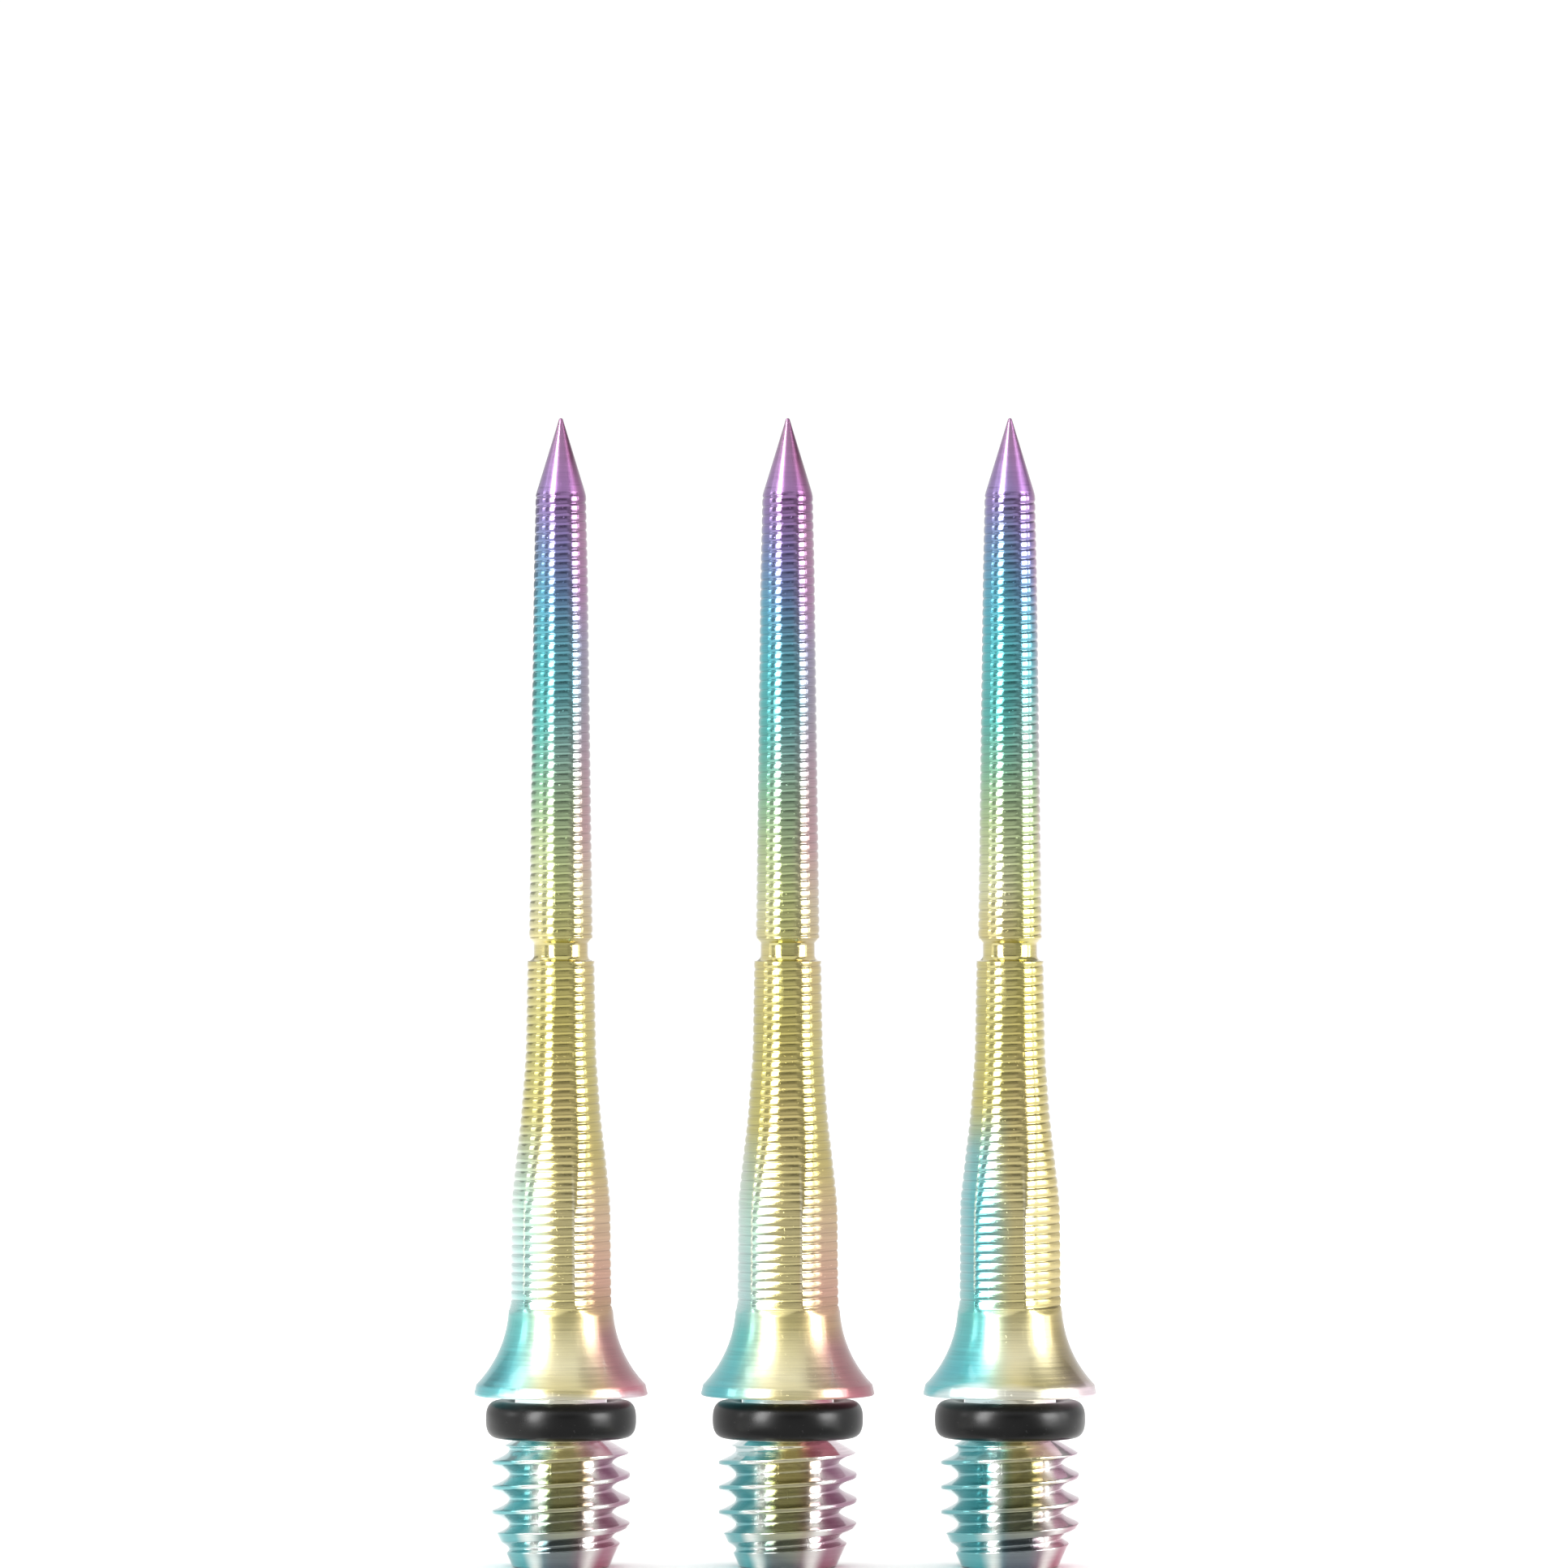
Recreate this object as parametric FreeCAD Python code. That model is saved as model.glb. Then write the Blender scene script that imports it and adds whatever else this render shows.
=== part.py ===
import FreeCAD, Part
import math
import os
from FreeCAD import Vector

# A set of three screw-in steel points for darts, standing side by side on
# their threaded ends with the sharp ends up. Each point is one turned piece
# with a rubber ring loose on its neck. Millimetres. +Z runs from the thread
# to the tip, Z = 0 is the end of the threads, and X = Y = 0 is the middle
# of the row. Profile places are (radius, height).

# the row
LEFT_X = -7.345
MIDDLE_X = 0.075
RIGHT_X = 7.345

# male thread: 2BA pitch, right hand, a little under the nominal diameter
THREAD_PITCH = 0.81
THREAD_MAJOR_R = 2.284
THREAD_ROOT_R = 1.71
THREAD_CREST_FLAT = 0.12
THREAD_ROOT_FLAT = 0.16
THREAD_CREST_Z = 2.18
THREAD_END_R = 1.585
THREAD_LEAD_Z = 1.43
THREAD_TOP_Z = 3.68
THREAD_RUN_PAST = 0.35
THREAD_CUT_OVER = 0.08

# neck that carries the ring
NECK_R = 1.50
NECK_FOOT_Z = 4.36

# flange and the trumpet above it
FLANGE_UNDER_Z = 5.60
RIM_EDGE = 0.04
RIM_LOW_R = 2.847
RIM_TOP_R = 2.776
RIM_TOP_Z = 5.95
TRUMPET_MIDDLE = (1.985, 7.16)
TRUMPET_TOP = (1.713, 8.43)

# grip sections over their ribs, from the flange end up
BLANK_R = 1.712
LOWER_GRIP = [(BLANK_R, 8.60), (BLANK_R, 11.10), (1.655, 11.95), (1.33, 14.50), (1.158, 16.70), (1.097, 19.80)]
UPPER_GRIP = [(1.044, 20.54), (0.882, 32.65), (0.826, 34.95)]

# spanner flats: distance from the axis at each height, six round the point
FLAT_DISTANCE = 1.50
FLAT_FOOT_Z = 8.66
FLAT_RUNOUT_R = 0.30
FLAT_FADE = [(FLAT_DISTANCE, 11.95), (1.33, 14.10), (1.27, 15.40)]
FLATS = 6
FIRST_FLAT_TURN = 15.5

# plain groove between the grip sections
WAIST_R = 0.885
WAIST_FILLET_R = 0.20

# sharp end
CONE_BASE = (0.806, 35.10)
TIP_Z = 37.56
TIP_BALL_R = 0.07

# fine grooves of the grip, and the height of one rib in each section
GRIP_PITCH = 0.30
GRIP_WIDTH = 0.13
GRIP_DEPTH = 0.045
UPPER_CREST_Z = 24.45
LOWER_CREST_Z = 12.02

# rubber ring: an oval section, flat above and below
RING_IN_R = 1.53
RING_OUT_R = 2.462
RING_LOW_Z = 4.20
RING_TOP_Z = 5.43
RING_SIDE_R = 0.95

POINTS_PER_TURN = 16
OUTSIDE = 4.0


def at(place):
    """A profile place (radius, height) in the plane Y = 0."""
    return Vector(place[0], 0, place[1])


def line(start, end):
    return Part.LineSegment(at(start), at(end)).toShape()


def arc(start, middle, end):
    return Part.Arc(at(start), at(middle), at(end)).toShape()


def chain(places):
    """Straight edges from each profile place to the next."""
    return [line(a, b) for a, b in zip(places, places[1:])]


def on_circle(centre, radius, degrees):
    """The profile place on a circle; 0 degrees points away from the axis."""
    turn = math.radians(degrees)
    return (centre[0] + radius * math.cos(turn), centre[1] + radius * math.sin(turn))


def turned(edges):
    """The solid that a closed profile makes about the Z axis."""
    face = Part.Face(Part.Wire(edges))
    return face.revolve(Vector(0, 0, 0), Vector(0, 0, 1), 360)


def radius_at(profile, z):
    """The radius of a straight-sided profile: level below its foot and carried on above its top."""
    pairs = list(zip(profile, profile[1:]))
    pair = next((p for p in pairs if z <= p[1][1]), pairs[-1])
    (r0, z0), (r1, z1) = pair
    if pair is pairs[0] and z < z0:
        return r0
    return r0 + (r1 - r0) * (z - z0) / (z1 - z0)


def ribbed(path, crest_z):
    """The path with the grip's V grooves in it, one between each rib and the next."""
    half = GRIP_WIDTH / 2
    first = math.ceil((path[0][1] + half - crest_z) / GRIP_PITCH - 0.5)
    last = math.floor((path[-1][1] - half - crest_z) / GRIP_PITCH - 0.5)
    grooves = [crest_z + GRIP_PITCH * (n + 0.5) for n in range(first, last + 1)]
    places = [place for place in path if all(abs(place[1] - z) > half for z in grooves)]
    for z in grooves:
        for above, deep in ((-half, 0), (0, GRIP_DEPTH), (half, 0)):
            places.append((radius_at(path, z + above) - deep, z + above))
    return sorted(places, key=lambda place: place[1])


def sharp_end():
    """The cone and the small ball on its end, up to the axis."""
    ball = (0, TIP_Z - TIP_BALL_R)
    fall = CONE_BASE[1] - ball[1]
    to_base = math.degrees(math.atan2(fall, CONE_BASE[0]))
    reach = math.hypot(fall, CONE_BASE[0])
    touch = to_base + math.degrees(math.acos(TIP_BALL_R / reach))
    meet = on_circle(ball, TIP_BALL_R, touch)
    half = on_circle(ball, TIP_BALL_R, (touch + 90) / 2)
    return [line(CONE_BASE, meet), arc(meet, half, (0, TIP_Z))]


def blank():
    """The turned piece before its thread, flats and grip are cut."""
    rim_low = (RIM_LOW_R, FLANGE_UNDER_Z + RIM_EDGE)
    below = [
        (0, 0),
        (THREAD_END_R, 0),
        (THREAD_MAJOR_R, THREAD_LEAD_Z),
        (THREAD_MAJOR_R, THREAD_TOP_Z),
        (NECK_R, NECK_FOOT_Z),
        (NECK_R, FLANGE_UNDER_Z),
        (RIM_LOW_R - RIM_EDGE, FLANGE_UNDER_Z),
        rim_low,
        (RIM_TOP_R, RIM_TOP_Z),
    ]
    shoulder = LOWER_GRIP[-1]
    fillet = (WAIST_R + WAIST_FILLET_R, shoulder[1] + WAIST_FILLET_R)
    waist_foot = (WAIST_R, fillet[1])
    waist_top = (WAIST_R, UPPER_GRIP[0][1])
    edges = chain(below)
    edges.append(arc(below[-1], TRUMPET_MIDDLE, TRUMPET_TOP))
    edges += chain([TRUMPET_TOP] + ribbed(LOWER_GRIP, LOWER_CREST_Z) + [(fillet[0], shoulder[1])])
    edges.append(arc((fillet[0], shoulder[1]), on_circle(fillet, WAIST_FILLET_R, 225), waist_foot))
    edges += chain([waist_foot, waist_top] + ribbed(UPPER_GRIP, UPPER_CREST_Z) + [CONE_BASE])
    edges += sharp_end()
    edges.append(line((0, TIP_Z), (0, 0)))
    return turned(edges)


def helix_edge(place_at, turns):
    """A smooth edge through places round the Z axis; place_at gives (radius, height) at a turn."""
    steps = round((turns[1] - turns[0]) * POINTS_PER_TURN)
    places = []
    for step in range(steps + 1):
        turn = turns[0] + (turns[1] - turns[0]) * step / steps
        radius, z = place_at(turn)
        angle = 2 * math.pi * turn
        places.append(Vector(radius * math.cos(angle), radius * math.sin(angle), z))
    curve = Part.BSplineCurve()
    curve.interpolate(Points=places, Parameters=list(range(len(places))))
    return curve.toShape()


def helical_bar(corners, turns):
    """A closed solid along helices; corners holds one place_at function for each edge of the bar."""
    edges = [helix_edge(corner, turns) for corner in corners]
    around = list(zip(edges, edges[1:] + edges[:1]))
    faces = [Part.makeRuledSurface(a, b) for a, b in around]
    for end in (0, -1):
        ring = [edge.Vertexes[end].Point for edge in edges]
        faces.append(Part.Face(Part.makePolygon(ring + ring[:1])))
    shell = Part.Shell(faces)
    shell.sewShape()
    solid = Part.Solid(shell)
    if solid.Volume < 0:
        solid.reverse()
    return solid


def thread_groove():
    """What the threading tool takes away: a right-hand groove with straight flanks."""
    middle_z = THREAD_CREST_Z + THREAD_PITCH / 2
    depth = THREAD_MAJOR_R - THREAD_ROOT_R
    root = THREAD_ROOT_FLAT / 2
    mouth = (THREAD_PITCH - THREAD_CREST_FLAT) / 2
    slope = (mouth - root) / depth
    wide = mouth + THREAD_CUT_OVER * slope

    def corner(radius, offset):
        return lambda turn: (radius, middle_z + THREAD_PITCH * turn + offset)

    outer = THREAD_MAJOR_R + THREAD_CUT_OVER
    corners = [
        corner(THREAD_ROOT_R, -root),
        corner(outer, -wide),
        corner(outer, wide),
        corner(THREAD_ROOT_R, root),
    ]
    first = (-THREAD_PITCH - THREAD_RUN_PAST - middle_z) / THREAD_PITCH
    last = (NECK_FOOT_Z + THREAD_RUN_PAST - middle_z) / THREAD_PITCH
    return helical_bar(corners, (first, last))


def flat_cutter(turn):
    """What one pass of the cutter takes away to leave a spanner flat with its ribs."""
    foot = (FLAT_DISTANCE, FLAT_FOOT_Z + FLAT_RUNOUT_R)
    centre = (FLAT_DISTANCE + FLAT_RUNOUT_R, foot[1])
    start = (centre[0], FLAT_FOOT_Z)
    surface = ribbed([foot] + FLAT_FADE, LOWER_CREST_Z)
    edges = [arc(start, on_circle(centre, FLAT_RUNOUT_R, 225), foot)]
    edges += chain(surface + [(OUTSIDE, surface[-1][1]), (OUTSIDE, FLAT_FOOT_Z), start])
    face = Part.Face(Part.Wire(edges))
    face.translate(Vector(0, -OUTSIDE / 2, 0))
    cutter = face.extrude(Vector(0, OUTSIDE, 0))
    cutter.rotate(Vector(0, 0, 0), Vector(0, 0, 1), turn)
    return cutter


def turned_point():
    """One finished point on the Z axis."""
    turns = [FIRST_FLAT_TURN + 360 / FLATS * n for n in range(FLATS)]
    point = blank().cut([flat_cutter(turn) for turn in turns])
    return point.cut(thread_groove()).Solids[0]


def rubber_ring():
    """The ring on the Z axis, loose on the neck."""
    middle_z = (RING_LOW_Z + RING_TOP_Z) / 2
    half = (RING_TOP_Z - RING_LOW_Z) / 2
    span = math.degrees(math.asin(half / RING_SIDE_R))
    outer = (RING_OUT_R - RING_SIDE_R, middle_z)
    inner = (RING_IN_R + RING_SIDE_R, middle_z)
    low_out = on_circle(outer, RING_SIDE_R, -span)
    top_out = on_circle(outer, RING_SIDE_R, span)
    low_in = on_circle(inner, RING_SIDE_R, 180 + span)
    top_in = on_circle(inner, RING_SIDE_R, 180 - span)
    edges = [
        line(low_in, low_out),
        arc(low_out, (RING_OUT_R, middle_z), top_out),
        line(top_out, top_in),
        arc(top_in, (RING_IN_R, middle_z), low_in),
    ]
    return turned(edges)


def write_out(shape, node, x):
    """Write a copy of the shape, moved along the row, as its own file."""
    moved = shape.copy()
    moved.translate(Vector(x, 0, 0))
    moved.exportStep(f"parts/{node}.step")


os.makedirs("parts", exist_ok=True)
POINT = turned_point()
RING = rubber_ring()
for side, place_x in (("left", LEFT_X), ("middle", MIDDLE_X), ("right", RIGHT_X)):
    write_out(POINT, f"{side}_point", place_x)
    write_out(RING, f"{side}_o_ring", place_x)
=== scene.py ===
import math

import bpy
import numpy as np
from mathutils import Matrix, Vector


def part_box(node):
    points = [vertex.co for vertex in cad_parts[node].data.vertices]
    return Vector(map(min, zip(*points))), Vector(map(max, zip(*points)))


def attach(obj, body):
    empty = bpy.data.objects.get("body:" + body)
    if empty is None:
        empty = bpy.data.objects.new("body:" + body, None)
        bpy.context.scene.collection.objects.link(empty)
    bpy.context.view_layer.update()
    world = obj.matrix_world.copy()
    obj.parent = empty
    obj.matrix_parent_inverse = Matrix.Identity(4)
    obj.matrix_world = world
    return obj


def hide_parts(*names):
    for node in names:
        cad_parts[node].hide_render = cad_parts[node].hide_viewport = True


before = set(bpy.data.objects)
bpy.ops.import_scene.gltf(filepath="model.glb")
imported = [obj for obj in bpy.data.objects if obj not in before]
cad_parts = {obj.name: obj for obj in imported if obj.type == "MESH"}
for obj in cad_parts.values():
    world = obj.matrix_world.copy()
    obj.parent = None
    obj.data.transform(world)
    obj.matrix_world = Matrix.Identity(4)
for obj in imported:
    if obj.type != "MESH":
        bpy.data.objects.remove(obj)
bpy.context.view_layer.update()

# Three screw-in dart points, standing on their threads. Every length is in millimetres, as on a
# drawing, and MM turns it into the frame's metres. Heights run from the end of the thread up.
MM = 0.001
SIDES = ("left", "middle", "right")
WHOLE_LENGTH = 37.56

# male thread
THREAD_PITCH = 0.81
THREAD_MAJOR_R = 2.27
THREAD_ROOT_R = 1.71
THREAD_FLANK_SLOPE = 2.75
THREAD_ROOT_SOFT = 0.20
THREAD_CREST_Z = 2.18
THREAD_END_R = 1.585
THREAD_LEAD_Z = 1.43
THREAD_TOP_Z = 3.71

# neck, flange and trumpet, as (radius, height)
NECK_R = 1.50
NECK_FOOT_Z = 4.16
FLANGE_UNDER_Z = 5.60
RIM_EDGE = 0.04
RIM_LOW_R = 2.847
RIM_TOP = (2.776, 5.95)
TRUMPET_MIDDLE = (1.985, 7.16)
TRUMPET_TOP = (1.713, 8.43)

# grip over its ribs, as (radius, height)
LOWER_GRIP = [(1.712, 8.43), (1.712, 11.10), (1.655, 11.95), (1.33, 14.50), (1.158, 16.70), (1.097, 19.80)]
UPPER_GRIP = [(1.044, 20.54), (0.882, 32.65), (0.826, 34.95)]
GRIP_BLEND = 0.45
GRIP_PITCH = 0.30
GRIP_DEPTH = 0.038
GRIP_ROUND = 3.4
GRIP_TOP_Z = 35.45
LOWER_CREST_Z = 12.02
UPPER_CREST_Z = 24.45
WAIST_R = 0.885
WAIST_TOP_Z = 20.38
WAIST_FILLET_R = 0.20

# spanner flats
FLAT_DISTANCE = 1.587
FLAT_FOOT_Z = 8.66
FLAT_RUNOUT = 0.34
FLAT_RUNOUT_R = 0.60
FLAT_FADE = [(1.56, 11.95), (1.37, 14.10), (1.29, 15.40), (1.26, 16.50)]
FLAT_TURN = 15.5
FLAT_CROWN = (0.06, 0.045)
CORNER_SOFT = 0.02

# sharp end
CONE_BASE = (0.826, 35.03)
TIP_BALL_R = 0.07
TIP_TOUCH = 16.0

# rubber ring
RING_IN_R = 1.53
RING_OUT_R = 2.462
RING_LOW_Z = 4.20
RING_TOP_Z = 5.43
RING_SQUARENESS = 2.6

# coat: colours by height on the left side, in the middle and on the right side, and how far the
# side colours reach; the right point has more teal and more gold at its two edges
LEFT_COAT = {0.0: "6cb0b4", 3.8: "70b4b8", 4.3: "d0e4e4", 5.5: "d0e4e4", 5.65: "6cbcc0",
             6.2: "58b0b8", 8.2: "64b8b4", 9.5: "a8d0cc", 11.8: "b4d8c8", 13.4: "b0c0a4",
             15.0: "c0b870", 18.0: "c0b874", 20.5: "d0c488", 22.0: "d0d0a4", 24.0: "acc090",
             25.6: "84b898", 27.3: "58b0a8", 30.0: "50b0b8", 32.0: "58a0b8", 33.4: "7088b0",
             34.6: "8878ac", 36.0: "9474a0", 37.5: "987890"}
MIDDLE_COAT = {0.0: "707884", 0.9: "707878", 1.9: "a8a888", 3.6: "c4bc90", 4.3: "e4e0cc",
               5.5: "e4e0cc", 5.65: "d0c48c", 6.6: "e0d8b0", 8.4: "d0c488", 11.4: "d0c48c",
               15.4: "ccbc78", 18.0: "c4b868", 20.4: "c8c078", 22.4: "c0c888", 24.6: "a0b890",
               26.6: "88b0a4", 28.6: "60a8b0", 30.6: "609cb0", 32.0: "6888b0", 33.6: "8478b0",
               35.0: "9870a8", 37.5: "9c7094"}
RIGHT_COAT = {0.0: "b87488", 1.4: "a88090", 3.6: "a88098", 4.3: "e4d0d8", 5.5: "e4d0d8",
              5.65: "c07484", 6.3: "986068", 7.6: "9c7070", 8.4: "b09070", 9.6: "cca08c",
              11.6: "ccb090", 13.6: "c0b070", 17.0: "c4b874", 20.2: "c8b480", 22.0: "c8b89c",
              24.0: "b89498", 26.0: "a88c98", 28.0: "9890a0", 30.0: "948ca4", 32.0: "a47ca0",
              34.0: "a47898", 35.4: "885884", 36.4: "744464", 37.5: "744868"}
DEEP_TEAL = {9.5: "6cb8bc", 11.8: "68b8bc", 13.4: "84b8b4"}
GOLD_EDGE = {5.65: "a89488", 6.3: "8c7c5c", 7.6: "988858", 8.4: "b0a068", 9.6: "c8b880",
             11.6: "c8b880"}
LEFT_BLEND = (-0.75, -0.10)
RIGHT_BLEND = (0.15, 0.85)
PALE_STREAKS = ((-0.48, 0.22), (0.60, 0.22))
STREAK_STRENGTH = 0.85
# painted highlight along the corners between the flats: where it starts, in degrees from a flat's middle, how
# strong it is, and the heights where it fades in and out
CORNER_HIGHLIGHT = (27.5, 29.5)
CORNER_HIGHLIGHT_STRENGTH = 0.45
CORNER_HIGHLIGHT_FROM = (8.9, 9.3)
CORNER_HIGHLIGHT_TO = (11.5, 13.5)
DRIFT_SIDE = 0.10
DRIFT_UP = 0.5
COAT_TURN_FROM = (13.5, 22.0)
COAT_TURN = {"left": (0.0, 0.0), "middle": (-5.0, -5.0), "right": (10.0, 34.0)}
COAT_LIFT = {"left": 0.0, "middle": 0.4, "right": -0.3}
STEEL_ROUGH = (0.10, 0.20)
MARK_RELIEF = 1.0
# painted shade: how dark the base colour is made in the grip's grooves, as a factor
GROOVE_PAINTED_SHADE = 0.70
COARSE_ROUGH = 0.20
COARSE_FROM = (5.50, 5.60)
COARSE_TO = (8.30, 8.60)
COARSE_TIP = (35.0, 35.2)
RUBBER_ROUGH = (0.27, 0.34)

# camera and studio
CAMERA_X = -0.047
CAMERA_Z = 25.59
CAMERA_DISTANCE = 330.0
FIELD_WIDTH = 51.3
SENSOR = 36.0
AIM = Vector((0, 0, 20 * MM))
LIGHT_DISTANCE = 420.0
WORLD_BRIGHTNESS = 1.05
PARTING_BRIGHTNESS = 1.0

# mesh columns in each sixth of a turn, in degrees from a corner of the hexagon
SIXTH = [0, 1.5, 7, 13.5, 20, 26.5, 33.5, 40, 46.5, 53, 58.5]


# ---------------------------------------------------------------- outlines

def straight(start, end, rows):
    """Rows along a line, without its last place."""
    return [tuple(np.add(start, np.subtract(end, start) * n / rows)) for n in range(rows)]


def circle_rows(centre, radius, first, last, rows):
    """Rows along an arc, without its last place; 0 degrees points away from the axis."""
    turns = [math.radians(first + (last - first) * n / rows) for n in range(rows)]
    return [(centre[0] + radius * math.cos(t), centre[1] + radius * math.sin(t)) for t in turns]


def arc_rows(start, middle, end, rows):
    """Rows along the arc through three places, without its last place."""
    a, b, c = (complex(*place) for place in (start, middle, end))
    w = (c - a) / (b - a)
    centre = (b - a) * (w - abs(w) ** 2) / (2j * w.imag) + a
    first, last = (math.degrees(math.atan2((p - centre).imag, (p - centre).real)) for p in (a, c))
    if abs(last - first) > 180:
        last -= math.copysign(360, last - first)
    return circle_rows((centre.real, centre.imag), abs(a - centre), first, last, rows)


def profile_radius(places, z, reach):
    """A straight-sided profile with its corners rounded off over a length of 2 x reach."""
    radii, heights = zip(*places)
    shifts = np.linspace(-reach, reach, 9)
    return np.mean([np.interp(z + shift, heights, radii) for shift in shifts], axis=0)


def grip_rows(places, rows):
    """Rows up a grip section."""
    heights = np.linspace(places[0][1], places[-1][1], rows, endpoint=False)
    return list(zip(profile_radius(places, heights, GRIP_BLEND), heights))


def point_outline():
    """Places from the middle of the thread's end up to the tip."""
    lead = (THREAD_MAJOR_R, THREAD_LEAD_Z)
    top = (THREAD_MAJOR_R, THREAD_TOP_Z)
    foot = (NECK_R, NECK_FOOT_Z)
    under = (NECK_R, FLANGE_UNDER_Z)
    rim_in = (RIM_LOW_R - RIM_EDGE, FLANGE_UNDER_Z)
    rim_low = (RIM_LOW_R, FLANGE_UNDER_Z + RIM_EDGE)
    waist = LOWER_GRIP[-1]
    fillet = (WAIST_R + WAIST_FILLET_R, waist[1] + WAIST_FILLET_R)
    step = UPPER_GRIP[0]
    ball = (0, WHOLE_LENGTH - TIP_BALL_R)
    rows = straight((0.5, 0), (THREAD_END_R - 0.03, 0), 3)
    rows += straight((THREAD_END_R - 0.03, 0), (THREAD_END_R + 0.01, 0.03), 2)
    rows += straight((THREAD_END_R + 0.01, 0.03), lead, 46)
    rows += straight(lead, top, 76) + straight(top, foot, 22)
    rows += straight(foot, under, 6) + straight(under, rim_in, 8)
    rows += straight(rim_in, rim_low, 3) + straight(rim_low, RIM_TOP, 5)
    rows += arc_rows(RIM_TOP, TRUMPET_MIDDLE, TRUMPET_TOP, 52)
    rows += grip_rows(LOWER_GRIP, 480)
    rows += straight(waist, (fillet[0], waist[1]), 2)
    rows += circle_rows(fillet, WAIST_FILLET_R, 270, 180, 9)
    rows += straight((WAIST_R, fillet[1]), (WAIST_R, WAIST_TOP_Z), 6)
    rows += straight((WAIST_R, WAIST_TOP_Z), (step[0] - 0.02, step[1]), 5)
    rows += straight((step[0] - 0.02, step[1]), (step[0], step[1] + 0.02), 2)
    rows += grip_rows([(step[0], step[1] + 0.02)] + UPPER_GRIP[1:], 600)
    rows += straight(UPPER_GRIP[-1], CONE_BASE, 3)
    rows += straight(CONE_BASE, circle_rows(ball, TIP_BALL_R, TIP_TOUCH, 90, 1)[0], 30)
    rows += circle_rows(ball, TIP_BALL_R, TIP_TOUCH, 86, 8)
    return np.array(rows)


# ---------------------------------------------------------------- relief on the turned shape

def soft_min(a, b, soft):
    """The smaller of two radii, with the edge between them rounded."""
    near = np.clip(1 - np.abs(a - b) / soft, 0, 1)
    return np.minimum(a, b) - near**2 * soft / 4


def cut_thread(radius, z, turn):
    """The right-hand thread, with rounded roots."""
    shift = (z - THREAD_CREST_Z) / THREAD_PITCH - turn
    offset = (shift - np.floor(shift) - 0.5) * THREAD_PITCH
    rise = np.sqrt(offset**2 + THREAD_ROOT_SOFT**2) - THREAD_ROOT_SOFT
    groove = THREAD_ROOT_R + THREAD_FLANK_SLOPE * rise
    cut = soft_min(radius, groove, 0.03)
    return np.where((z > 0) & (z < NECK_FOOT_Z + 0.01), np.minimum(radius, cut), radius)


def cut_flats(radius, z, turn):
    """Six slightly crowned flats that fade out upwards and end in a small radius below."""
    distances, heights = zip(*FLAT_FADE)
    distance = np.interp(z, (FLAT_FOOT_Z,) + heights, (FLAT_DISTANCE,) + distances)
    below = np.clip(FLAT_FOOT_Z - z, 0, FLAT_RUNOUT)
    distance = distance + below**2 / (2 * FLAT_RUNOUT_R)
    from_flat = (turn * 360 - FLAT_TURN + 30) % 60 - 30
    across = np.abs(from_flat) / 30
    crown = FLAT_CROWN[0] * across**2 + FLAT_CROWN[1] * across**4
    flat = (distance - crown) / np.cos(np.radians(from_flat))
    in_reach = (z > FLAT_FOOT_Z - FLAT_RUNOUT) & (z < FLAT_FADE[-1][1])
    return np.where(in_reach, soft_min(radius, flat, CORNER_SOFT), radius)


def grip_groove(z, turn):
    """Where each place is in the grip's right-hand helical groove: 0 on a rib and 1 between two ribs."""
    upper = z > UPPER_GRIP[0][1]
    shift = (z - np.where(upper, UPPER_CREST_Z, LOWER_CREST_Z)) / GRIP_PITCH - turn
    groove = (2 * np.abs(shift - np.round(shift))) ** GRIP_ROUND
    starts = np.clip((z - FLAT_FOOT_Z + 0.30) / 0.20, 0, 1)
    in_waist = (z > LOWER_GRIP[-1][1] - 0.001) & (z < UPPER_GRIP[0][1] + 0.015)
    return groove * starts * np.where(in_waist | (z > GRIP_TOP_Z), 0, 1)


def cut_grip(radius, z, turn):
    """The grip's ribs, which run out on the foot of the cone."""
    depth = GRIP_DEPTH * grip_groove(z, turn)
    on_bar = radius - depth
    on_cone = np.minimum(radius, UPPER_GRIP[-1][0] - depth)
    return np.where(z <= CONE_BASE[1], on_bar, np.where(z < GRIP_TOP_Z, on_cone, radius))


# ---------------------------------------------------------------- meshes

def grid_mesh(name, rings, closed_column):
    """A closed mesh from rings of places: a cap vertex at each end, or the last ring joined to the first."""
    count, around = rings.shape[:2]
    vertices = rings.reshape(-1, 3)
    ring = np.arange(around)
    after = np.roll(ring, -1)
    rows = count if closed_column else count - 1
    low = (np.arange(rows) * around)[:, None]
    high = ((np.arange(rows) + 1) % count * around)[:, None]
    quads = np.stack([low + ring, low + after, high + after, high + ring], axis=-1).reshape(-1, 4)
    faces = quads.tolist()
    if not closed_column:
        foot, top = len(vertices), len(vertices) + 1
        caps = np.array([rings[0].mean(axis=0), rings[-1].mean(axis=0)])
        vertices = np.vstack([vertices, caps])
        last = (count - 1) * around
        faces += [[foot, b, a] for a, b in zip(ring.tolist(), after.tolist())]
        faces += [[top, last + a, last + b] for a, b in zip(ring.tolist(), after.tolist())]
    mesh = bpy.data.meshes.new(name)
    mesh.from_pydata((vertices * MM).tolist(), [], faces)
    mesh.polygons.foreach_set("use_smooth", [True] * len(mesh.polygons))
    mesh.update()
    return mesh


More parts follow.
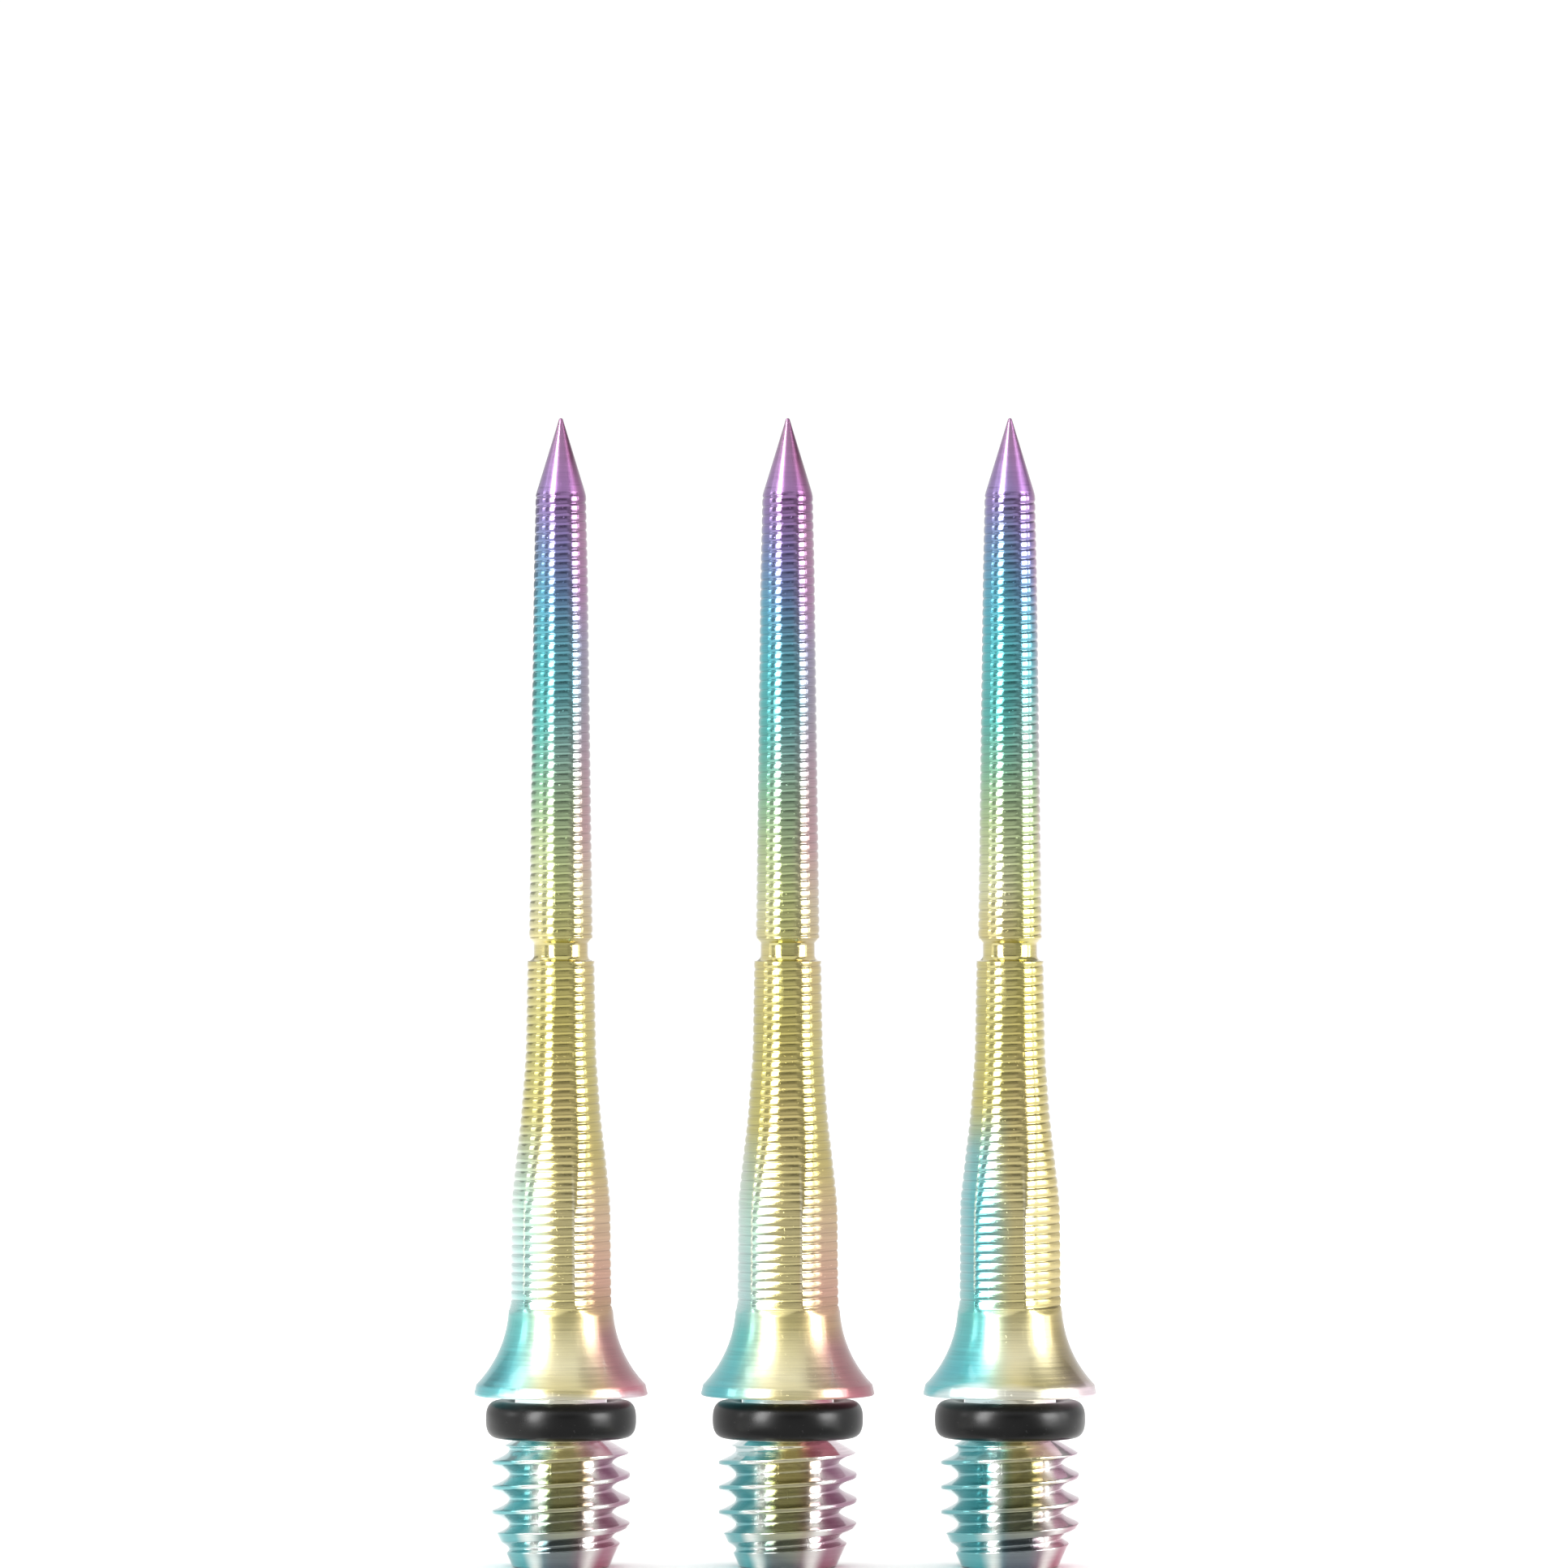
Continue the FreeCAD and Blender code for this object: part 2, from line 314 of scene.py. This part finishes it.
def point_mesh():
    """One point on the Z axis."""
    corner = FLAT_TURN + 30
    degrees = np.array([corner + 60 * n + step for n in range(6) for step in SIXTH])
    outline = point_outline()
    z = outline[:, 1:]
    turn = degrees[None, :] / 360
    radius = outline[:, :1] + 0 * turn
    radius = cut_thread(radius, z, turn)
    radius = cut_flats(radius, z, turn)
    radius = cut_grip(radius, z, turn)
    angle = 2 * math.pi * turn
    rings = np.stack([radius * np.cos(angle), radius * np.sin(angle), z + 0 * angle], axis=-1)
    tip = np.array([0, 0, WHOLE_LENGTH])
    mesh = grid_mesh("point", rings, False)
    shade = mesh.attributes.new("groove", "FLOAT", "POINT")
    shade.data.foreach_set("value", grip_groove(z, turn).ravel().tolist() + [0.0, 0.0])
    mesh.vertices[-1].co = Vector(tip * MM)
    mesh.vertices[-2].co = Vector((0, 0, 0))
    return mesh


def ring_mesh():
    """One rubber ring on the Z axis: an oval section, flat above and below, with soft edges."""
    centre = ((RING_OUT_R + RING_IN_R) / 2, (RING_LOW_Z + RING_TOP_Z) / 2)
    half = ((RING_OUT_R - RING_IN_R) / 2, (RING_TOP_Z - RING_LOW_Z) / 2)
    turns = np.linspace(0, 2 * math.pi, 72, endpoint=False)
    ways = np.stack([np.cos(turns), np.sin(turns)], axis=-1)
    section = centre + half * np.sign(ways) * np.abs(ways) ** (2 / RING_SQUARENESS)
    angle = np.linspace(0, 2 * math.pi, 144, endpoint=False)
    radius = section[:, :1] + 0 * angle
    rings = np.stack([radius * np.cos(angle), radius * np.sin(angle), section[:, 1:] + 0 * angle], axis=-1)
    return grid_mesh("ring", rings, True)


def place(mesh, name, node_name, body, slot, material):
    """Put a copy of a mesh on the node's own axis, riding on its body."""
    low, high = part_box(node_name)
    piece = bpy.data.objects.new(name, mesh.copy())
    piece.location = ((low.x + high.x) / 2, 0, 0)
    bpy.context.collection.objects.link(piece)
    piece.data.name = name
    piece.data.materials.append(material)
    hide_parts(node_name)
    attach(piece, body)
    return piece


# ---------------------------------------------------------------- materials

def new_material(name):
    """An empty node material and its Principled shader."""
    material = bpy.data.materials.new(name)
    material.use_nodes = True
    shader = material.node_tree.nodes["Principled BSDF"]
    return material, material.node_tree, shader


def node(tree, kind, settings=None, inputs=None):
    """Add a node, set its options, and set or link its inputs."""
    made = tree.nodes.new(kind)
    for option, value in (settings or {}).items():
        setattr(made, option, value)
    for socket, value in (inputs or {}).items():
        if isinstance(value, bpy.types.NodeSocket):
            tree.links.new(value, made.inputs[socket])
        else:
            made.inputs[socket].default_value = value
    return made


def math_node(tree, operation, first, second=0.0):
    return node(tree, "ShaderNodeMath", {"operation": operation}, {0: first, 1: second}).outputs[0]


def mapped(tree, value, low, high, to_low=0.0, to_high=1.0, smooth=False):
    """A value stretched from one range to another and held at its ends."""
    settings = {"interpolation_type": "SMOOTHSTEP" if smooth else "LINEAR"}
    inputs = {"Value": value, "From Min": low, "From Max": high, "To Min": to_low, "To Max": to_high}
    return node(tree, "ShaderNodeMapRange", settings, inputs).outputs[0]


def up_the_point(tree, z, heights, to_low=0.0, to_high=1.0):
    """A value that changes between two heights, which are given in millimetres."""
    return mapped(tree, z, heights[0] * MM, heights[1] * MM, to_low, to_high)


def noise(tree, vector, scale, detail=2.0, roughness=0.5):
    inputs = {"Vector": vector, "Scale": scale, "Detail": detail, "Roughness": roughness}
    return node(tree, "ShaderNodeTexNoise", None, inputs).outputs["Fac"]


def linear(code):
    """A linear colour from an sRGB hex code."""
    parts = [int(code[n:n + 2], 16) / 255 for n in (0, 2, 4)]
    return [c / 12.92 if c <= 0.04045 else ((c + 0.055) / 1.055) ** 2.4 for c in parts] + [1.0]


def colour_ramp(tree, place, stops):
    """A ramp along the height, from {height: colour}."""
    made = node(tree, "ShaderNodeValToRGB", None, {0: place})
    ramp = made.color_ramp
    heights = sorted(stops)
    while len(ramp.elements) < len(heights):
        ramp.elements.new(0.5)
    for element, height in zip(ramp.elements, heights):
        element.position = height / WHOLE_LENGTH
        element.color = linear(stops[height])
    return made.outputs[0]


def mix_colour(tree, factor, first, second, blend="MIX"):
    settings = {"data_type": "RGBA", "blend_type": blend}
    made = node(tree, "ShaderNodeMix", settings)
    for socket, value in ((0, factor), (6, first), (7, second)):
        if isinstance(value, bpy.types.NodeSocket):
            tree.links.new(value, made.inputs[socket])
        else:
            made.inputs[socket].default_value = value
    return made.outputs[2]


def coated_steel(name, turn, lift, left_coat, right_coat):
    """Turned steel under a thin coat whose colour changes up the point and round it."""
    material, tree, shader = new_material(name)
    place = node(tree, "ShaderNodeTexCoord").outputs["Object"]
    own_x, own_y, z = node(tree, "ShaderNodeSeparateXYZ", None, {0: place}).outputs
    angle = up_the_point(tree, z, COAT_TURN_FROM, -math.radians(turn[0]), -math.radians(turn[1]))
    turned = node(tree, "ShaderNodeVectorRotate", {"rotation_type": "Z_AXIS"},
                  {"Vector": place, "Angle": angle}).outputs[0]
    x, y, _ = node(tree, "ShaderNodeSeparateXYZ", None, {0: turned}).outputs
    radius = math_node(tree, "SQRT", math_node(tree, "ADD", math_node(tree, "MULTIPLY", x, x),
                                               math_node(tree, "MULTIPLY", y, y)))
    side = math_node(tree, "DIVIDE", x, math_node(tree, "MAXIMUM", radius, 0.00002))

    # the coat is a little uneven, so its bands wander
    drift = mapped(tree, noise(tree, place, 260.0, 3.0), 0.25, 0.75, -1.0, 1.0)
    side = math_node(tree, "ADD", side, math_node(tree, "MULTIPLY", drift, DRIFT_SIDE))
    height = math_node(tree, "ADD", math_node(tree, "MULTIPLY", z, 1 / (MM * WHOLE_LENGTH)),
                       math_node(tree, "MULTIPLY", drift, DRIFT_UP / WHOLE_LENGTH))
    height = math_node(tree, "ADD", height, lift / WHOLE_LENGTH)
    left, middle, right = (colour_ramp(tree, height, stops) for stops in (left_coat, MIDDLE_COAT, right_coat))
    coat = mix_colour(tree, mapped(tree, side, *LEFT_BLEND, smooth=True), left, middle)
    coat = mix_colour(tree, mapped(tree, side, *RIGHT_BLEND, smooth=True), coat, right)

    # two painted streaks down the thread stand in for bright reflections that the lights don't give
    on_thread = mapped(tree, z, THREAD_TOP_Z * MM, NECK_FOOT_Z * MM, 1, 0)
    for middle_side, reach in PALE_STREAKS:
        away = math_node(tree, "ABSOLUTE", math_node(tree, "SUBTRACT", side, middle_side))
        painted_highlight = math_node(tree, "MULTIPLY", mapped(tree, away, 0.0, reach, STREAK_STRENGTH, 0.0, smooth=True),
                         on_thread)
        coat = mix_colour(tree, painted_highlight, coat, linear("f2f2ee"))

    # painted highlight: the corners between the flats are painted a little paler, standing in for the bright
    # highlights along their edges
    turn_here = math_node(tree, "MULTIPLY", math_node(tree, "ARCTAN2", own_y, own_x), 180 / math.pi)
    from_flat = math_node(tree, "PINGPONG", math_node(tree, "SUBTRACT", turn_here, FLAT_TURN), 30.0)
    along = math_node(tree, "MULTIPLY", up_the_point(tree, z, CORNER_HIGHLIGHT_FROM),
                      up_the_point(tree, z, CORNER_HIGHLIGHT_TO, 1, 0))
    painted_highlight = math_node(tree, "MULTIPLY", mapped(tree, from_flat, *CORNER_HIGHLIGHT, 0.0, CORNER_HIGHLIGHT_STRENGTH), along)
    coat = mix_colour(tree, painted_highlight, coat, linear("f4eed8"))

    # turning marks run round the point; specks and fine scratches sit on top of them
    streaked = node(tree, "ShaderNodeMapping", None, {"Vector": place, "Scale": (1.0, 1.0, 46.0)}).outputs[0]
    marks = noise(tree, streaked, 420.0, 4.0, 0.62)
    scratched = node(tree, "ShaderNodeMapping", None,
                     {"Vector": place, "Scale": (14.0, 14.0, 1.0), "Rotation": (0.3, 0.2, 0.0)}).outputs[0]
    scratches = mapped(tree, noise(tree, scratched, 330.0, 2.0), 0.66, 0.72)
    grit = mapped(tree, noise(tree, place, 15000.0, 2.0), 0.70, 0.80)

    tone = mapped(tree, marks, 0.30, 0.70, 0.86, 1.08)
    # painted shade: the base colour is darkened in the grip's grooves, standing in for the shade in these
    # recesses
    groove = node(tree, "ShaderNodeAttribute", {"attribute_name": "groove"}).outputs["Fac"]
    tone = math_node(tree, "MULTIPLY", tone, mapped(tree, groove, 0.40, 1.0, 1.0, GROOVE_PAINTED_SHADE))
    tone = node(tree, "ShaderNodeCombineColor", None, {0: tone, 1: tone, 2: tone}).outputs[0]
    coat = mix_colour(tree, 1.0, coat, tone, "MULTIPLY")
    tree.links.new(coat, shader.inputs["Base Color"])

    rough = mapped(tree, marks, 0.3, 0.7, STEEL_ROUGH[0], STEEL_ROUGH[1])
    coarse = math_node(tree, "MULTIPLY", up_the_point(tree, z, COARSE_FROM),
                       up_the_point(tree, z, COARSE_TO, 1, 0))
    coarse = math_node(tree, "ADD", coarse, up_the_point(tree, z, COARSE_TIP))
    rough = math_node(tree, "ADD", rough, math_node(tree, "MULTIPLY", coarse, COARSE_ROUGH))
    rough = math_node(tree, "ADD", rough, math_node(tree, "MULTIPLY", scratches, 0.12))
    tree.links.new(rough, shader.inputs["Roughness"])
    shader.inputs["Metallic"].default_value = 1.0
    shader.inputs["Coat Weight"].default_value = 0.60
    shader.inputs["Coat Roughness"].default_value = 0.09
    shader.inputs["Specular Tint"].default_value = (0.90, 0.90, 0.90, 1.0)
    shader.inputs["Anisotropic"].default_value = 0.6
    shader.inputs["Anisotropic Rotation"].default_value = 0.25
    tangent = node(tree, "ShaderNodeTangent", {"direction_type": "RADIAL", "axis": "Z"}).outputs[0]
    tree.links.new(tangent, shader.inputs["Tangent"])
    relief = math_node(tree, "SUBTRACT", math_node(tree, "MULTIPLY", marks, MARK_RELIEF),
                       math_node(tree, "MULTIPLY", scratches, 0.25))
    relief = math_node(tree, "ADD", relief, math_node(tree, "MULTIPLY", grit, 1.2))
    bump = node(tree, "ShaderNodeBump", None, {"Strength": 1.0, "Distance": 0.000004, "Height": relief})
    tree.links.new(bump.outputs[0], shader.inputs["Normal"])
    return material


def black_rubber(name):
    """Moulded black rubber with a soft shine, faint flow marks and a little dust."""
    material, tree, shader = new_material(name)
    place = node(tree, "ShaderNodeTexCoord").outputs["Object"]
    fine = noise(tree, place, 5200.0, 4.0, 0.6)
    broad = noise(tree, place, 700.0, 3.0)
    dust = mapped(tree, noise(tree, place, 9000.0, 1.0), 0.72, 0.80)
    base = mix_colour(tree, mapped(tree, broad, 0.3, 0.7), linear("040404"), linear("080809"))
    base = mix_colour(tree, math_node(tree, "MULTIPLY", dust, 0.25), base, linear("5a5a5a"))
    tree.links.new(base, shader.inputs["Base Color"])
    rough = mapped(tree, broad, 0.3, 0.7, RUBBER_ROUGH[0], RUBBER_ROUGH[1])
    tree.links.new(rough, shader.inputs["Roughness"])
    bump = node(tree, "ShaderNodeBump", None, {"Strength": 0.35, "Distance": 0.000005, "Height": fine})
    tree.links.new(bump.outputs[0], shader.inputs["Normal"])
    shader.inputs["Specular IOR Level"].default_value = 0.30
    return material


# ---------------------------------------------------------------- studio

def direction(azimuth, elevation):
    """A direction away from the points; azimuth 0 is towards the camera and 90 is to its right."""
    a, e = math.radians(azimuth), math.radians(elevation)
    return Vector((math.sin(a) * math.cos(e), -math.cos(a) * math.cos(e), math.sin(e)))


def softbox(name, azimuth, elevation, width, height, radiance):
    """A rectangular light aimed at the middle of the points."""
    light = bpy.data.lights.new(name, "AREA")
    light.shape = "RECTANGLE"
    light.size = width * MM
    light.size_y = height * MM
    light.energy = radiance * math.pi * light.size * light.size_y
    lamp = bpy.data.objects.new(name, light)
    bpy.context.collection.objects.link(lamp)
    away = direction(azimuth, elevation)
    lamp.location = AIM + away * LIGHT_DISTANCE * MM
    lamp.rotation_mode = "QUATERNION"
    lamp.rotation_quaternion = away.to_track_quat("Z", "Y")
    lamp.visible_diffuse = False
    return lamp


def card(name, places, faces, radiance):
    """A panel of even brightness that shows only in reflections."""
    mesh = bpy.data.meshes.new(name)
    mesh.from_pydata([Vector(place) * MM for place in places], [], faces)
    panel = bpy.data.objects.new(name, mesh)
    bpy.context.collection.objects.link(panel)
    material, tree, shader = new_material(name)
    shader.inputs["Base Color"].default_value = (0, 0, 0, 1)
    shader.inputs["Roughness"].default_value = 1.0
    shader.inputs["Specular IOR Level"].default_value = 0.0
    shader.inputs["Emission Color"].default_value = (1, 1, 1, 1)
    shader.inputs["Emission Strength"].default_value = radiance
    mesh.materials.append(material)
    panel.visible_camera = False
    panel.visible_diffuse = False
    panel.visible_shadow = False


def swept_card(name, azimuths, line, radiance, spread=0.0, ahead=0.0):
    """A card swept round the points between two azimuths, from a line of (distance, height) places.

    The sweep starts ahead of the points and is spread to both sides, so that each point sees it alike."""
    steps = 12
    places = []
    for azimuth in np.linspace(*azimuths, steps + 1):
        away = direction(azimuth, 0)
        start = spread * azimuth / 45
        places += [(start + away.x * reach, away.y * reach - ahead, z) for reach, z in line]
    count = len(line)
    faces = [(count * n + m, count * (n + 1) + m, count * (n + 1) + m + 1, count * n + m + 1)
             for n in range(steps) for m in range(count - 1)]
    card(name, places, faces, radiance)


def parting_card(name, x):
    """A white card between two points, so that they do not mirror each other."""
    back = 8.0
    front = [(-1.75, 0.1), (-1.75, 4.0), (-2.15, 5.5), (-2.1, 6.2), (-1.3, 8.4), (-1.25, 11.5),
             (-0.85, 17), (-0.6, 37.6)]
    places = [(x, y, z) for y, z in front] + [(x, back, z) for y, z in front]
    count = len(front)
    faces = [(n, n + 1, count + n + 1, count + n) for n in range(count - 1)]
    card(name, places, faces, PARTING_BRIGHTNESS)


def floor():
    """A plain white floor."""
    half = 4000 * MM
    low = -0.02 * MM
    mesh = bpy.data.meshes.new("floor")
    mesh.from_pydata([(-half, -half, low), (half, -half, low), (half, half, low), (-half, half, low)],
                     [], [(0, 1, 2, 3)])
    material, tree, shader = new_material("floor")
    shader.inputs["Base Color"].default_value = linear("fcfcfb")
    shader.inputs["Roughness"].default_value = 0.9
    shader.inputs["Specular IOR Level"].default_value = 0.1
    mesh.materials.append(material)
    ground = bpy.data.objects.new("floor", mesh)
    bpy.context.collection.objects.link(ground)


def white_world():
    world = bpy.data.worlds.new("studio")
    bpy.context.scene.world = world
    world.use_nodes = True
    sky = world.node_tree.nodes["Background"]
    sky.inputs["Color"].default_value = (1, 1, 1, 1)
    sky.inputs["Strength"].default_value = WORLD_BRIGHTNESS


def camera():
    """A level camera straight in front of the middle point."""
    data = bpy.data.cameras.new("camera")
    data.sensor_width = SENSOR
    data.lens = SENSOR * CAMERA_DISTANCE / FIELD_WIDTH
    data.clip_start = 10 * MM
    data.clip_end = 20000 * MM
    eye = bpy.data.objects.new("camera", data)
    eye.location = (CAMERA_X * MM, -CAMERA_DISTANCE * MM, CAMERA_Z * MM)
    eye.rotation_euler = (math.pi / 2, 0, 0)
    bpy.context.collection.objects.link(eye)
    bpy.context.scene.camera = eye


white_world()
floor()
camera()
softbox("left_strip", -43, 6, 165, 500, 17.0)
softbox("left_box", -84, 14, 110, 110, 4.0)
softbox("left_top_box", -98, 50, 130, 120, 3.0)
softbox("right_strip", 65, 2, 180, 420, 14.0)
softbox("right_box", 90, 2, 80, 380, 5.0)
softbox("right_top_box", 98, 52, 130, 120, 3.0)
overhead = softbox("overhead", 0, 90, 300, 300, 4.0)
overhead.visible_diffuse = True
overhead.visible_glossy = False
for edges, low, middle, high in (((-30, -8), 0.70, 0.34, 0.32), ((-8, 24), 0.72, 0.46, 0.16),
                                 ((24, 50), 0.48, 0.48, 0.48)):
    swept_card("front_low_flag", edges, [(0.1, 0.1), (180, 0.1), (180, 20)], low, 14.0, 3.5)
    swept_card("front_middle_flag", edges, [(180, 20), (180, 36)], middle, 14.0, 3.5)
    swept_card("front_high_flag", edges, [(180, 36), (180, 80)], high, 14.0, 3.5)
swept_card("left_flag", (-72, -51), [(150, 0.1), (150, 120)], 0.55)
swept_card("left_edge_flag", (-178, -112), [(60, 27), (60, 45)], 0.50)
swept_card("right_top_flag", (44, 170), [(200, 93), (170, 175), (70, 235)], 0.40)
parting_card("left_parting", -3.65)
parting_card("right_parting", 3.71)
bpy.context.scene.view_settings.view_transform = "Standard"

steel_point = point_mesh()
rubber_ring = ring_mesh()
rubber = black_rubber("black_rubber")
for side in SIDES:
    left_coat = LEFT_COAT | (DEEP_TEAL if side == "right" else {})
    right_coat = RIGHT_COAT | (GOLD_EDGE if side == "right" else {})
    steel = coated_steel(f"{side}_coated_steel", COAT_TURN[side], COAT_LIFT[side], left_coat, right_coat)
    place(steel_point, f"{side}_dart_point", f"{side}_point", side, "coated_steel", steel)
    ring = place(rubber_ring, f"{side}_rubber_ring", f"{side}_o_ring", f"{side}_ring", "black_rubber", rubber)
    ring.visible_glossy = False
